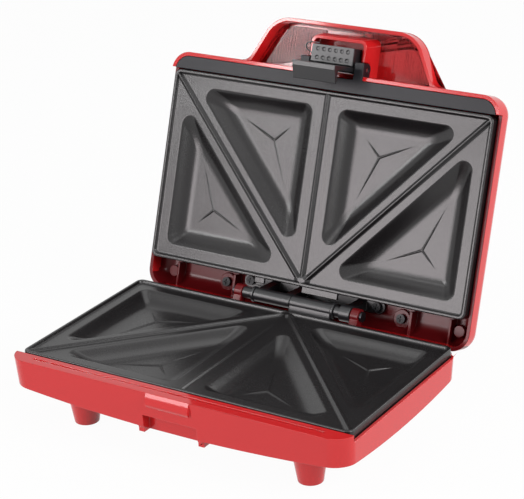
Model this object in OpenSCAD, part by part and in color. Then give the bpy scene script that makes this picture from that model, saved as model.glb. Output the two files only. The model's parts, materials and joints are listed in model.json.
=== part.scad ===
// Countertop sandwich toaster with a hinged lid, drawn open.
// Design frame: x to the right, y to the back with 0 at the plates' rear edge,
// z up with 0 at the plane where the two halves meet when the lid is shut.
// Lid pieces are drawn shut and swung open about the hinge.

/* [Plates] */
// Width of each cooking plate
plate_w = 222; // [206:1:240]
// Depth of each cooking plate, front to back
plate_d = 120; // [112:1:130]
// Metal thickness of the cast plates
plate_t = 2; // [1.6:0.1:2.4]
// Corner radius of the plates seen from above
plate_corner = 4; // [2:0.5:6]
// Height of the plate's skirt
skirt_h = 9; // [8:0.5:10]
// Width of the raised rim
rim_w = 2.2; // [1.6:0.1:3]
// Height of rim and seam ridges above the flats
rim_h = 1.6; // [1:0.1:2]
// Depth of the pocket floors below the rim
pocket_depth = 8.5; // [7:0.5:9]
// Flat land between pockets and the plate's edge
edge_land = 10; // [9:0.5:12]
// Half of the land between the two front pockets
centre_land = 10; // [8:0.5:12]
// Distance of the pockets from the diagonal seams
diagonal_land = 7; // [5:0.5:9]
// Corner radius of the pockets
pocket_corner = 5.5; // [4:0.5:7]
// Horizontal run of the pocket walls
wall_run = 8; // [6:0.5:10]
// Width of the seam ridges at their foot
ridge_w = 2.8; // [2:0.2:3.6]
// Height of the three-armed marks on the pocket floors
mark_h = 0.7; // [0.4:0.1:1]
// Gap between the two plates' rims when shut
plate_gap = 0.4; // [0.3:0.1:0.8]

/* [Shells] */
// Wall thickness of the plastic shells
wall = 2.4; // [2:0.1:2.8]
// Gap around each plate inside its shell
plate_clear = 0.6; // [0.4:0.1:0.9]
// Distance from the shut plane to the side walls' rims
side_drop = 5; // [4:0.5:6]
// Depth of the ledge in front of the plates
ledge_d = 10.7; // [9:0.1:12]
// Distance of the front ledge and front rim from the shut plane
front_gap = 0.7; // [0.5:0.1:1]
// Corner radius of the shells seen from above
shell_corner = 12; // [10:0.5:14]
// How far the base's walls lean in over their height
draft = 1.6; // [1:0.1:3]
// Space between the reflector sheet and the base's floor, in the middle
base_room = 6.8; // [5.8:0.1:9]
// Radius of the base's belly, side to side
belly_rx = 1080; // [950:10:1400]
// Radius of the base's belly, front to back
belly_ry = 520; // [460:10:700]
// Space behind the plate inside the base
base_rear = 2.1; // [1.8:0.1:3]
// Overhang of the lid behind the plate, to its outer wall
lid_rear = 20; // [19:0.5:22]
// Height of the lid's straight side wall above the shut plane
lid_side = 10.9; // [10:0.1:12]
// Rise of the lid's oval dome above its shoulder
dome_h = 7.5; // [6:0.5:9]
// Distance of the first locating rib behind the plate's front
rib_start = 4.6; // [3:0.1:7]
// Spacing of the locating ribs
rib_pitch = 22; // [20:0.5:23]
// Thickness of the locating ribs
rib_t = 1.6; // [1.2:0.1:2.4]

/* [Feet] */
// Height of the shut plane above the table
split_height = 44.9; // [44:0.1:50]
// Sideways distance of the feet from the middle
foot_x = 77; // [70:1:80]
// Distance of the front feet behind the plate's front edge
foot_inset = 13.5; // [10:0.5:16]
// Radius of a foot where it leaves the base
foot_r1 = 11; // [9:0.5:12]
// Radius of a foot at its bottom
foot_r2 = 7.4; // [6.5:0.1:8.5]
// Radius of the rubber pads
pad_r = 5.6; // [4.5:0.1:6]
// Thickness of the rubber pads
pad_t = 1.6; // [1.2:0.1:2.4]
// How far the pads stand out of the feet
pad_out = 0.8; // [0.5:0.1:1]

/* [Hinge] */
// Angle of the open lid from shut
open_angle = 109; // [95:1:112]
// Distance of the hinge axis behind the plates
hinge_y = 10.4; // [10:0.1:11]
// Height of the hinge axis above the shut plane
hinge_z = 0.8; // [0.4:0.1:1.2]
// Outer radius of the hinge barrels
barrel_r = 4.3; // [4:0.1:4.8]
// Radius of the hinge pin
pin_r = 1.9; // [1.6:0.1:2.2]
// Radial running clearance on the pins
run_clear = 0.05; // [0.03:0.01:0.09]
// Side clearance between neighbouring barrels
side_clear = 0.4; // [0.3:0.05:0.6]
// Left end of the lid's long barrel
barrel_x0 = -30; // [-33:0.1:-27]
// Joint between the lid's long barrel and the base's barrel
barrel_x1 = -4; // [-6:0.1:-2]
// Right end of the base's barrel
barrel_x2 = 24.8; // [22:0.1:26]
// Sideways place of the inner faces of the shell's hinge cheeks
cheek_x = 38.6; // [38.3:0.1:41]
// Thickness of the cheeks
cheek_t = 5.4; // [4:0.1:6.5]

/* [Latch] */
// Height of the latch pivot above the shut plane
latch_z = 6.2; // [5.8:0.1:6.6]
// Distance of the latch pivot in front of the lid's front wall
latch_out = 4.2; // [4:0.1:4.6]
// Radius of the latch pin
latch_pin_r = 1.3; // [1.1:0.05:1.5]
// Width of the latch lever
latch_w = 29.2; // [27:0.2:31]
// Length of the thumb pad above the pivot
pad_len = 11.8; // [10.5:0.1:12.5]
// Depth of the thumb pad's block
pad_block = 10; // [8:0.5:11]
// Thickness of the hook arm
arm_t = 2.8; // [2.4:0.1:3.2]
// Depth of the hook's end below the shut plane
hook_depth = 21; // [20.5:0.1:22]
// Reach of the hook's lip behind the arm
lip_reach = 7.9; // [6.5:0.1:8.2]
// Height of the catch edge below the shut plane
catch_depth = 16; // [15:0.5:16.5]
// Width of the recess under the catch
recess_w = 36.4; // [34:0.2:40]
// Depth of the recess
recess_d = 7.4; // [7:0.1:9]
// How far the catch's nose stands out of the base
nose_out = 1.6; // [1.2:0.1:1.7]
// Thickness of the latch bearings
ear_t = 6.3; // [5:0.1:7]
// Wire thickness of the latch spring
wire_d = 0.7; // [0.6:0.05:0.8]
// Gap between the curls of the latch spring
curl_gap = 0.43; // [0.42:0.01:0.5]
// Number of curls of the latch spring
spring_turns = 3; // [2:1:3]

/* [Handle] */
// Half width of the handle at the lid
handle_root = 64.6; // [62:0.1:72]
// Half width of the handle at its front
handle_front = 56.8; // [50:0.2:60]
// Reach of the handle in front of the lid
handle_reach = 29.5; // [26:0.1:32]
// Radius of the handle's front corners
handle_corner = 19; // [14:0.5:21]
// Height of the handle's rim above the shut plane
handle_rim = 10; // [9:0.5:10.5]
// Half width of the latch housing at its rim
housing_w = 19; // [18.4:0.1:20]
// Height of the latch housing's rim above the shut plane
housing_rim = 6.3; // [6:0.1:8]
// Reach of the latch housing in front of the lid
housing_reach = 21.4; // [20.8:0.1:22.5]

/* [Heating] */
// Radius of the tubular heating elements
tube_r = 3.2; // [3:0.1:3.4]
// Bend radius of the heating elements, at the tube's middle
bend_r = 12; // [10:0.5:14]
// Half of the distance between the elements' side runs
element_x = 77; // [74:0.5:80]
// Distance of the element's front run from the plate's front
element_front = 27; // [25:0.5:30]
// Distance of the element's rear runs from the plate's rear edge
element_back = 28; // [26:0.5:30]
// Half gap between the element's two ends
element_gap = 28; // [24:1:34]
// Thickness of the reflector sheets
sheet_t = 0.6; // [0.5:0.1:0.8]
// Radius of the thermostats
thermo_r = 7.5; // [6.5:0.5:8]
// Radius of the lamp lenses
lens_r = 4.4; // [3.6:0.1:5]

/* [Hidden] */
// Gap left where a piece is seated on its neighbour
seat = 0.1;
// Least gap between pieces that pass each other
pass = 0.3;
$fn = 48;
// Facets of the large, shallow curves
fine = 256;

half_w = plate_w / 2;
front_y = -plate_d;
rim_z = -plate_gap / 2;
flat_z = rim_z - rim_h;
deck_z = flat_z - plate_t;
floor_z = rim_z - pocket_depth;
skirt_z = rim_z - skirt_h;
tube_z = floor_z - plate_t - seat - tube_r;
strap_t = 0.8;
strap_z = tube_z - tube_r - seat / 2;
sheet_z = strap_z - strap_t - 0.15;
// Depth of the base below the shut plane, at its middle
base_depth = sheet_t - sheet_z + base_room + wall;

shell_x = half_w + plate_clear + wall;
inner_x = shell_x - wall;
ledge_y = front_y - plate_clear;
base_front = ledge_y - ledge_d;
base_back = base_rear + wall;
belly_y = (base_front + base_back) / 2;
lid_top = lid_side + shell_corner;
lid_mid = (base_front + lid_rear) / 2;

post_r = 3.2;
post_end = 14;
post_front = [50, front_y + 5.6];
post_back = [60, -5.6];
boss_r = 5.4;
screw_r = 1.9;
head_r = 3.6;
head_h = 2.2;
head_z = -18.5;
pillars = [[86, front_y + 24], [86, -22]];
pillar_r = 3;

thermo_y = -66;
thermo_top = -7;
thermo_h = 8.4;

// Inner and outer face of the base's leaning rear wall at a height
function rear_in(z) = base_rear + z * draft / base_depth;
function rear_out(z) = base_back + z * draft / base_depth;

pivot_y = base_front - latch_out;
arm_front = pivot_y - arm_t / 5;
arm_back = arm_front + arm_t;
lip_y = arm_back + lip_reach;
lip_top = -catch_depth - pass;
ear_x = latch_w / 2 + 1.1;
ear_half = 3.9;
handle_y = base_front - handle_reach;
handle_top = lid_top - 0.5;
handle_floor = handle_top - wall;
cap_in = 3;
cap_h = 3.4;

lamp_y = front_y + 8;
lamp_x = 12;
lens_low = lid_top - wall - 2.9;
lens_in = 2.5;
lamp_r = 2.2;
lamp_low = lens_low - 10.1;
lamp_len = 12.4;

rib_last = floor((plate_d - rib_start - 4) / rib_pitch);
// Side, far side and reach of the lugs on the upper plate's rear edge
lugs = [[1, 26, 3.8], [-33, -26, 3.2]];
// Places of the base bracket's screws, across and up
bracket_x = [2.6, 17.4];
bracket_z = -12.4;
// Places along the terminal block, and its pitch of ways
term_x = [-48, -26];
term_pitch = 7;
gland_x = half_w - 36;
gland_z = -14.2;
gland_r = 3.4;

// Where a point of the shut lid comes to lie when the lid is open
function swung(y, z) = [
    hinge_y + (y - hinge_y) * cos(open_angle) + (z - hinge_z) * sin(open_angle),
    hinge_z - (y - hinge_y) * sin(open_angle) + (z - hinge_z) * cos(open_angle)
];

// Middle of the open part, front to back
reach_back = swung(handle_y + cap_in, handle_top)[0];
reach_front = base_front - nose_out;
mid_y = (reach_back + reach_front) / 2;

// Outer height of the base's belly and of the lid's dome at a place
function belly_z(x, y) = -base_depth + x * x / (2 * belly_rx)
    + (y - belly_y) * (y - belly_y) / (2 * belly_ry);
dome_x = shell_x - shell_corner - 2;
dome_y = (lid_rear - base_front) / 2 - shell_corner - 2;
dome_rx = dome_x * dome_x / (2 * dome_h);
dome_ry = dome_y * dome_y / (2 * dome_h);
function dome_z(x, y) = lid_top + dome_h - x * x / (2 * dome_rx)
    - (y - lid_mid) * (y - lid_mid) / (2 * dome_ry);

function unit(v) = v / norm(v);
// Point inside corner a of triangle a, b, c at distance d from both of its sides
function inset(a, b, c, d) =
    let (u = unit(b - a), v = unit(c - a))
    a + (u + v) * d / abs(u[0] * v[1] - u[1] * v[0]);

// Corners of the front and side pockets on the right-hand half
seam = unit([half_w, front_y]);
front_pocket = [
    [centre_land, front_y + edge_land],
    [((front_y + edge_land) * seam[0] + diagonal_land) / seam[1], front_y + edge_land],
    [centre_land, (centre_land * seam[1] + diagonal_land) / seam[0]]
];
side_pocket = [
    [half_w - edge_land, -edge_land],
    [(-edge_land * seam[0] - diagonal_land) / seam[1], -edge_land],
    [half_w - edge_land, ((half_w - edge_land) * seam[1] - diagonal_land) / seam[0]]
];
front_mark = [inset(front_pocket[0], front_pocket[1], front_pocket[2], 26.5), front_pocket];
side_mark = [inset(side_pocket[0], side_pocket[1], side_pocket[2], 25.5), side_pocket];

module in_frame() {
    translate([0, -mid_y, split_height]) children();
}

module in_lid() {
    in_frame()
        translate([0, hinge_y, hinge_z])
            rotate([-open_angle, 0, 0])
                translate([0, -hinge_y, -hinge_z])
                    children();
}

module both_sides() {
    children();
    mirror([1, 0, 0]) children();
}

module flipped() {
    mirror([0, 0, 1]) children();
}

module box(low, high) {
    translate(low) cube(high - low);
}

module along_x(x0, x1, y, z, r) {
    translate([x0, y, z]) rotate([0, 90, 0]) cylinder(r = r, h = x1 - x0);
}

// A profile drawn in y and z, pushed along x
module push_x(x0, x1) {
    translate([x0, 0, 0])
        rotate([90, 0, 90])
            linear_extrude(x1 - x0) children();
}

module plan(x, y0, y1, r) {
    translate([-x + r, y0]) square([2 * (x - r), y1 - y0]);
    translate([-x, y0 + r]) square([2 * x, y1 - y0 - 2 * r]);
    for (sx = [-1, 1], y = [y0 + r, y1 - r])
        translate([sx * (x - r), y]) circle(r);
}

// Plates

// Outline of a pocket at inset d and height z, with corners of radius r
function ring(t, d, r, z) = [
    for (i = [0:2])
        let (
            a = t[i], b = t[(i + 1) % 3], c = t[(i + 2) % 3],
            m = inset(a, b, c, d + r),
            a1 = atan2(c[0] - a[0], a[1] - c[1]),
            a2 = atan2(a[0] - b[0], b[1] - a[1]),
            turn = (a2 - a1 + 720) % 360
        )
        for (k = [0:7]) [m[0] + r * cos(a1 + turn * k / 7), m[1] + r * sin(a1 + turn * k / 7), z]
];

// Solid through a stack of outlines, highest first
module loft(rings) {
    n = len(rings[0]);
    last = (len(rings) - 1) * n;
    polyhedron(
        [for (r = rings) each r],
        concat(
            [[for (k = [n - 1:-1:0]) k], [for (k = [0:n - 1]) last + k]],
            [
                for (i = [0:len(rings) - 2], k = [0:n - 1])
                    let (a = i * n + k, b = i * n + (k + 1) % n)
                    each [[a, b, a + n], [b, b + n, a + n]]
            ]
        )
    );
}

module pocket_cut(t) {
    h = pocket_depth - rim_h;
    r = pocket_corner;
    loft([
        ring(t, 0, r, flat_z + 0.6),
        ring(t, 0, r, flat_z - 0.2),
        ring(t, wall_run * 0.1, r, flat_z - h * 0.2),
        ring(t, wall_run * 0.62, r * 0.9, flat_z - h * 0.8),
        ring(t, wall_run * 0.8, r * 0.8, flat_z - h * 0.95),
        ring(t, wall_run, r * 0.7, floor_z)
    ]);
}

module pocket_body(t) {
    h = pocket_depth - rim_h;
    r = pocket_corner + plate_t;
    loft([
        ring(t, -plate_t, r, flat_z - plate_t / 2),
        ring(t, wall_run * 0.1 - plate_t * 0.9, r, flat_z - h * 0.2 - plate_t * 0.4),
        ring(t, wall_run * 0.62 - plate_t * 0.75, r * 0.9, flat_z - h * 0.8 - plate_t * 0.65),
        ring(t, wall_run - plate_t * 0.5, r * 0.7, floor_z - plate_t)
    ]);
}

module ridge(from, to) {
    d = to - from;
    translate([from[0], from[1], flat_z - 0.5])
        rotate([0, 0, atan2(d[1], d[0])])
            rotate([90, 0, 90])
                linear_extrude(norm(d))
                    polygon([
                        [-ridge_w / 2, 0], [ridge_w / 2, 0], [ridge_w / 2, 0.5],
                        [ridge_w / 6, rim_h + 0.5], [-ridge_w / 6, rim_h + 0.5],
                        [-ridge_w / 2, 0.5]
                    ]);
}

// Round pad in which the seam ridges meet
hub_r = rim_w / 2 + ridge_w * 0.9;

module mark(m) {
    for (i = [0:2]) {
        a = m[1][i];
        tip = inset(a, m[1][(i + 1) % 3], m[1][(i + 2) % 3], wall_run + 3.4);
        d = tip - m[0];
        n = [-d[1], d[0]] / norm(d);
        translate([0, 0, floor_z - 0.3])
            linear_extrude(mark_h + 0.3)
                polygon([m[0] + n * 1.1, m[0] - n * 1.1, tip - n * 0.2, tip + n * 0.2]);
    }
}

module plate() {
    inner = half_w - rim_w;
    difference() {
        union() {
            translate([0, 0, deck_z])
                linear_extrude(plate_t) plan(half_w, front_y, 0, plate_corner);
            translate([0, 0, skirt_z])
                linear_extrude(skirt_h)
                    difference() {
                        plan(half_w, front_y, 0, plate_corner);
                        plan(inner, front_y + rim_w, -rim_w, plate_corner - rim_w * 0.6);
                    }
            both_sides() {
                pocket_body(front_pocket);
                pocket_body(side_pocket);
                ridge([0, -rim_w / 2], [inner, front_y + rim_w * 1.1]);
                for (p = [post_front, post_back])
                    translate([p[0], p[1], -post_end]) cylinder(r = post_r, h = post_end - 3);
                for (c = clamp_at)
                    clamp_posts(c) cylinder(r = 2.8, h = -strap_z - 3);
            }
            ridge([0, -rim_w], [0, front_y + rim_w / 2]);
            translate([0, -hub_r - 0.1, flat_z - 0.5]) cylinder(r = hub_r, h = rim_h + 0.5);
            translate([0, thermo_y, thermo_top]) cylinder(r = 6.5, h = -thermo_top - 3);
        }
        both_sides() {
            pocket_cut(front_pocket);
            pocket_cut(side_pocket);
            for (c = clamp_at)
                clamp_posts(c) translate([0, 0, -1]) cylinder(r = 1.5, h = 6);
        }
    }
    both_sides() {
        mark(front_mark);
        mark(side_mark);
    }
}

// Heating

// Places where straps hold the element: middle and direction across the tube
clamp_at = [
    [0, front_y + element_front, 90],
    [element_x, -60, 0]
];
clamp_half = 9;

module clamp_posts(c) {
    for (s = [-1, 1])
        translate([c[0], c[1], strap_z])
            rotate([0, 0, c[2]])
                translate([s * clamp_half, 0, 0]) children();
}

module element() {
    y0 = front_y + element_front;
    y1 = -element_back;
    color([0.62, 0.62, 0.6])
        translate([0, 0, tube_z]) {
            along_x(-element_x + bend_r, element_x - bend_r, y0, 0, tube_r);
            both_sides() {
                translate([element_x - bend_r, y0 + bend_r, 0])
                    rotate([0, 0, -90])
                        rotate_extrude(angle = 90) translate([bend_r, 0]) circle(tube_r);
                translate([element_x, y0 + bend_r, 0])
                    rotate([-90, 0, 0]) cylinder(r = tube_r, h = y1 - y0 - 2 * bend_r);
                translate([element_x - bend_r, y1 - bend_r, 0])
                    rotate_extrude(angle = 90) translate([bend_r, 0]) circle(tube_r);
                along_x(element_gap, element_x - bend_r, y1, 0, tube_r);
                along_x(element_gap - 11, element_gap, y1, 0, 1.2);
            }
        }
}

module clamps() {
    color([0.7, 0.7, 0.7])
        for (c = [clamp_at[0], clamp_at[1], [-clamp_at[1][0], clamp_at[1][1], 0]])
            translate([c[0], c[1], strap_z - seat])
                rotate([0, 0, c[2]])
                    difference() {
                        translate([-clamp_half - 4, -4.5, -strap_t + 0.05])
                            cube([2 * clamp_half + 8, 9, strap_t]);
                        for (s = [-1, 1])
                            translate([s * clamp_half, 0, -2]) cylinder(r = 1.6, h = 4);
                    }
}

module reflector() {
    x = pillars[0][0] + 8;
    y0 = pillars[0][1] - 8;
    y1 = pillars[1][1] + 8;
    color([0.82, 0.82, 0.8])
        difference() {
            translate([0, 0, sheet_z - sheet_t])
                linear_extrude(sheet_t) plan(x, y0, y1, 12);
            both_sides()
                for (p = pillars)
                    translate([p[0], p[1], sheet_z - 2]) cylinder(r = 1.7, h = 4);
        }
}

module reflector_screws() {
    color([0.3, 0.3, 0.3])
        both_sides()
            for (p = pillars)
                translate([p[0], p[1], 0]) {
                    translate([0, 0, sheet_z + seat / 2]) cylinder(r = 3, h = 1.5);
                    translate([0, 0, sheet_z - 2.6]) cylinder(r = 1.4, h = 2.8);
                }
}

module pillar(p, foot) {
    translate([p[0], p[1], foot])
        cylinder(r = pillar_r, h = sheet_z - sheet_t - seat / 2 - foot);
}

module pillar_holes() {
    for (p = pillars)
        translate([p[0], p[1], sheet_z - 3]) cylinder(r = 1.45, h = 4);
}

module thermostat() {
    color([0.85, 0.82, 0.75])
        translate([0, thermo_y, thermo_top - seat - thermo_h]) {
            cylinder(r = thermo_r, h = thermo_h);
            for (s = [-1, 1])
                translate([s * 3.6 - 1.5, -2.5, -1.9]) cube([3, 5, 2]);
        }
}

// Base

// Shallow cap with its top at the origin, curved by rx across and ry front to back
module cap(rx, ry, x, y, deep) {
    a = asin(x / (rx - deep));
    translate([0, 0, -rx])
        rotate([90, 0, 0])
            rotate([0, 0, 90 - a])
                rotate_extrude(angle = 2 * a, $fn = fine)
                    intersection() {
                        translate([rx - ry, 0]) circle(ry, $fn = fine);
                        translate([rx - deep, -y]) square([deep + 1, 2 * y]);
                    }
}

module belly(lift) {
    translate([0, belly_y, lift - base_depth])
        flipped() cap(belly_rx, belly_ry, shell_x + 5, plate_d / 2 + 20, base_depth + 20);
}

// Prism with leaning walls, from its bottom at z0 to its rim at z1
module tub(in, z0, z1) {
    lean = draft / base_depth;
    hull() {
        translate([0, 0, z1 - 0.1])
            linear_extrude(0.1)
                plan(shell_x - in, base_front + in, base_back - in, shell_corner - in);
        translate([0, 0, z0])
            linear_extrude(0.1)
                plan(shell_x - in + z0 * lean, base_front + in - z0 * lean,
                    base_back - in + z0 * lean, shell_corner - in);
    }
}

module base_outer() {
    intersection() {
        tub(0, -base_depth - 2, -front_gap);
        belly(0);
    }
}

module base_inner() {
    intersection() {
        tub(wall, -base_depth - 2, -front_gap - wall);
        belly(wall);
    }
}

// Middles of the feet, front and rear; the rear feet end flush with the rear wall
foot_low = pad_out - split_height;
foot_flush = rear_out(-base_depth);
foot_at = [front_y + foot_inset, foot_flush - foot_r2 - 0.3];

module foot(y) {
    intersection() {
        translate([foot_x, y, foot_low])
            cylinder(r1 = foot_r2, r2 = foot_r1, h = belly_z(foot_x, y) + wall * 0.7 - foot_low);
        box([foot_x - 20, y - 20, foot_low - 1], [foot_x + 20, foot_flush, 0]);
    }
}

module foot_hollow(y) {
    top_r = y > belly_y ? foot_r2 : foot_r1;
    translate([foot_x, y, foot_low]) {
        translate([0, 0, -1]) cylinder(r = pad_r + seat, h = 1 + pad_t - pad_out + seat / 2);
        translate([0, 0, pad_t + wall])
            cylinder(r1 = foot_r2 - wall, r2 = top_r - wall,
                h = belly_z(foot_x, y) + wall + 1.5 - foot_low - pad_t - wall);
    }
}

module cheek() {
    difference() {
        push_x(cheek_x, cheek_x + cheek_t) {
            translate([hinge_y, hinge_z]) circle(barrel_r + 0.2);
            polygon([
                [base_back - 2, -side_drop], [hinge_y - 4, hinge_z],
                [hinge_y + 1, hinge_z - 4], [base_back + 1, -18], [base_back - 2, -19]
            ]);
        }
        along_x(cheek_x - 1, cheek_x + cheek_t + 1, hinge_y, hinge_z, pin_r + run_clear);
    }
}

// Heel under the lid's rear wall, on which the open lid rests
module heel() {
    a = swung(lid_rear + pass, side_drop);
    b = swung(lid_rear + pass, side_drop + 6);
    push_x(50, 62)
        polygon([
            [base_back - 2, a[1]], a, b, [b[0], b[1] - 2], [base_back - 2, a[1] - 9]
        ]);
}

module base_shell() {
    catch_half = latch_w / 2;
    nose_y = base_front - nose_out;
    side_t = 4;
    edge_low = belly_z(0, base_front);
    recess_low = edge_low - 3.9;
    lip_edge = base_front - edge_low * draft / base_depth + 0.4;
    recess_back = base_front + recess_d + wall - 0.4;
    color([0.78, 0.12, 0.13])
        difference() {
            union() {
                difference() {
                    base_outer();
                    base_inner();
                    box([-shell_x - 1, ledge_y - 0.3, -side_drop],
                        [shell_x + 1, base_back + 1, 1]);
                    translate([0, 0, skirt_z - 0.6])
                        linear_extrude(12)
                            plan(inner_x, ledge_y, plate_clear, plate_corner + plate_clear);
                    box([-inner_x, -plate_d / 2, -side_drop - 1], [inner_x, base_rear - 0.4, 1]);
                }
                // feet, hinge cheeks and the heels that the open lid rests on
                both_sides() {
                    for (y = foot_at) foot(y);
                    cheek();
                    heel();
                    for (p = pillars)
                        pillar(p, belly_z(p[0], p[1]) + 1);
                    for (p = [post_front, post_back])
                        translate([p[0], p[1], belly_z(p[0], p[1]) + 0.8])
                            cylinder(r = boss_r, h = -post_end - seat - belly_z(p[0], p[1]) - 0.8);
                    for (i = [0:rib_last]) {
                        y = front_y + rib_start + i * rib_pitch;
                        box([half_w - 2.4, y - rib_t / 2, -15],
                            [inner_x + 0.6, y + rib_t / 2, skirt_z - seat / 2]);
                        box([half_w + 0.15, y - rib_t / 2, -15],
                            [inner_x + 0.6, y + rib_t / 2, -side_drop - 0.8]);
                    }
                }
                // walls around the recess, and the cam above the catch edge
                box([-recess_w / 2 - side_t, base_front + wall - 0.2, recess_low],
                    [recess_w / 2 + side_t, base_front + recess_d + wall, -catch_depth + wall]);
                both_sides()
                    push_x(recess_w / 2 - 0.2, recess_w / 2 + side_t - 0.15)
                        polygon([
                            [lip_edge, -catch_depth - 4], [lip_edge, edge_low - 0.9],
                            [recess_back, recess_low - 0.8], [recess_back, recess_low + 3],
                            [base_front + wall, -catch_depth + 1]
                        ]);
                push_x(-catch_half, catch_half)
                    polygon([
                        [base_front + wall, -front_gap - 0.5], [base_front, -front_gap - 0.1],
                        [nose_y, -6.6], [nose_y + 0.1, -7.6], [nose_y + 0.6, -8.8],
                        [base_front + 0.2, -9.8], [base_front + wall, -9.8]
                    ]);
                for (x = bracket_x)
                    translate([x, -4, bracket_z])
                        rotate([-90, 0, 0]) cylinder(r = 2.5, h = 4 + base_rear + 0.5);
            }
            // recess that the hook snaps into
            box([-recess_w / 2, base_front - 1, -base_depth - 5],
                [recess_w / 2, base_front + recess_d, -catch_depth]);
            // groove along the ledge
            box([-half_w + 13, ledge_y - ledge_d / 2, -front_gap - 1],
                [half_w - 13, ledge_y - ledge_d / 2 + 1.3, 1]);
            both_sides()
                for (y = foot_at) foot_hollow(y);
            // screw ways
            both_sides()
                for (p = [post_front, post_back])
                    translate([p[0], p[1], 0]) {
                        translate([0, 0, -40]) cylinder(r = screw_r + 0.2, h = 40 - post_end + 1);
                        translate([0, 0, -40]) cylinder(r = head_r + 0.3, h = 40 + head_z);
                    }
            for (x = bracket_x)
                translate([x, -3, bracket_z]) rotate([-90, 0, 0]) cylinder(r = 1.6, h = 12);
            both_sides() pillar_holes();
            // cord outlet
            translate([-gland_x, rear_in(gland_z) - 2, gland_z])
                rotate([-90, 0, 0]) cylinder(r = gland_r + seat, h = wall + 4);
        }
}

module foot_pads() {
    color([0.12, 0.12, 0.12])
        both_sides()
            for (y = foot_at)
                translate([foot_x, y, -split_height]) cylinder(r = pad_r, h = pad_t);
}

module cord_gland() {
    y0 = rear_in(gland_z - gland_r - 0.9) - seat;
    y1 = rear_out(gland_z + gland_r + 0.9) + seat;
    color([0.1, 0.1, 0.1])
        translate([-gland_x, 0, gland_z])
            rotate([-90, 0, 0])
                difference() {
                    union() {
                        translate([0, 0, y0 - 1.4]) cylinder(r = gland_r, h = y1 - y0 + 2.8);
                        translate([0, 0, y0 - 1.4]) cylinder(r = gland_r + 0.9, h = 1.4);
                        translate([0, 0, y1]) cylinder(r = gland_r + 0.9, h = 1.4);
                        translate([0, 0, y1 + 1.3]) cylinder(r1 = gland_r, r2 = gland_r - 0.6, h = 6);
                    }
                    translate([0, 0, y0 - 3]) cylinder(r = gland_r - 1.3, h = 20);
                }
}

module plate_screws() {
    color([0.55, 0.55, 0.55])
        both_sides()
            for (p = [post_front, post_back])
                translate([p[0], p[1], 0]) {
                    translate([0, 0, head_z - head_h - seat / 2]) cylinder(r = head_r, h = head_h);
                    translate([0, 0, head_z - 0.1]) cylinder(r = screw_r, h = 11.5);
                }
}

module lower_plate() {
    color([0.2, 0.2, 0.2])
        difference() {
            plate();
            both_sides()
                for (p = [post_front, post_back])
                    translate([p[0], p[1], -post_end - 1]) cylinder(r = screw_r + 0.05, h = 9);
        }
}

module fuse() {
    color([0.8, 0.8, 0.78])
        translate([0, -54, deck_z - 2.2 - seat])
            rotate([-90, 0, 0]) {
                cylinder(r = 2.2, h = 15);
                translate([0, 0, -4]) cylinder(r = 0.7, h = 23);
            }
}

module terminals() {
    low = belly_z(term_x[0], 0) + wall + 1.6;
    color([0.9, 0.88, 0.82])
        difference() {
            box([term_x[0], -6.5, low], [term_x[1], rear_in(low) - seat, low + 8.6]);
            for (i = [0:2])
                translate([term_x[0] + 4 + i * term_pitch, -3, low + 4.3]) {
                    rotate([90, 0, 0]) cylinder(r = 1.8, h = 5);
                    cylinder(r = 1.5, h = 6);
                }
        }
}

// Hinge

module barrel(x0, x1) {
    along_x(x0, x1, hinge_y, hinge_z, barrel_r);
}

module base_hinge_bracket() {
    x0 = barrel_x1 + side_clear / 2;
    color([0.1, 0.1, 0.1])
        difference() {
            union() {
                barrel(x0, barrel_x2);
                push_x(x0, barrel_x2)
                    polygon([
                        [rear_out(-17) + seat, -17], [base_back + 2.4, -17], [base_back + 2.6, -8],
                        [hinge_y + 1.5, hinge_z - 3.9], [hinge_y - 4, hinge_z],
                        [base_back + seat, -3.5], [rear_out(-side_drop) + seat, -side_drop]
                    ]);
            }
            along_x(x0 - 1, barrel_x2 + 1, hinge_y, hinge_z, pin_r + run_clear);
            for (x = bracket_x)
                translate([x, base_back - 3, bracket_z]) {
                    rotate([-90, 0, 0]) cylinder(r = 1.7, h = 12);
                    translate([0, 5.4, 0]) rotate([-90, 0, 0]) cylinder(r = 3, h = 12);
                }
        }
}

module base_hinge_screws() {
    color([0.25, 0.25, 0.25])
        for (x = bracket_x)
            translate([x, base_back, bracket_z])
                rotate([-90, 0, 0]) {
                    translate([0, 0, 2.4 + seat / 2]) cylinder(r = 2.7, h = 1.8);
                    translate([0, 0, -5]) cylinder(r = 1.5, h = 7.6);
                }
}

module hinge_pin() {
    color([0.6, 0.6, 0.62]) {
        along_x(-cheek_x - cheek_t - 0.3, cheek_x + cheek_t + 0.3, hinge_y, hinge_z, pin_r);
        along_x(-cheek_x - cheek_t - 1.6, -cheek_x - cheek_t - 0.2, hinge_y, hinge_z, 3.2);
        along_x(cheek_x + cheek_t + 0.2, cheek_x + cheek_t + 1.6, hinge_y, hinge_z, 3.2);
    }
}

module ring(x0, x1, r) {
    difference() {
        along_x(x0, x1, hinge_y, hinge_z, r);
        along_x(x0 - 1, x1 + 1, hinge_y, hinge_z, pin_r + run_clear);
    }
}

// Right end of the lid's short barrel
short_x = cheek_x - side_clear;
spacer_r = barrel_r - 0.7;
module hinge_spacers() {
    color([0.5, 0.5, 0.5]) {
        ring(barrel_x2 + side_clear / 2, barrel_x2 + side_clear / 2 + 1.5, barrel_r + 0.6);
        ring(barrel_x2 + side_clear / 2 + 1.6, short_x - 7.4 - side_clear, spacer_r);
        ring(barrel_x0 - 1.7, barrel_x0 - side_clear / 2, barrel_r + 0.6);
        ring(-cheek_x + side_clear / 2, barrel_x0 - 1.8, spacer_r);
    }
}

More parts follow.
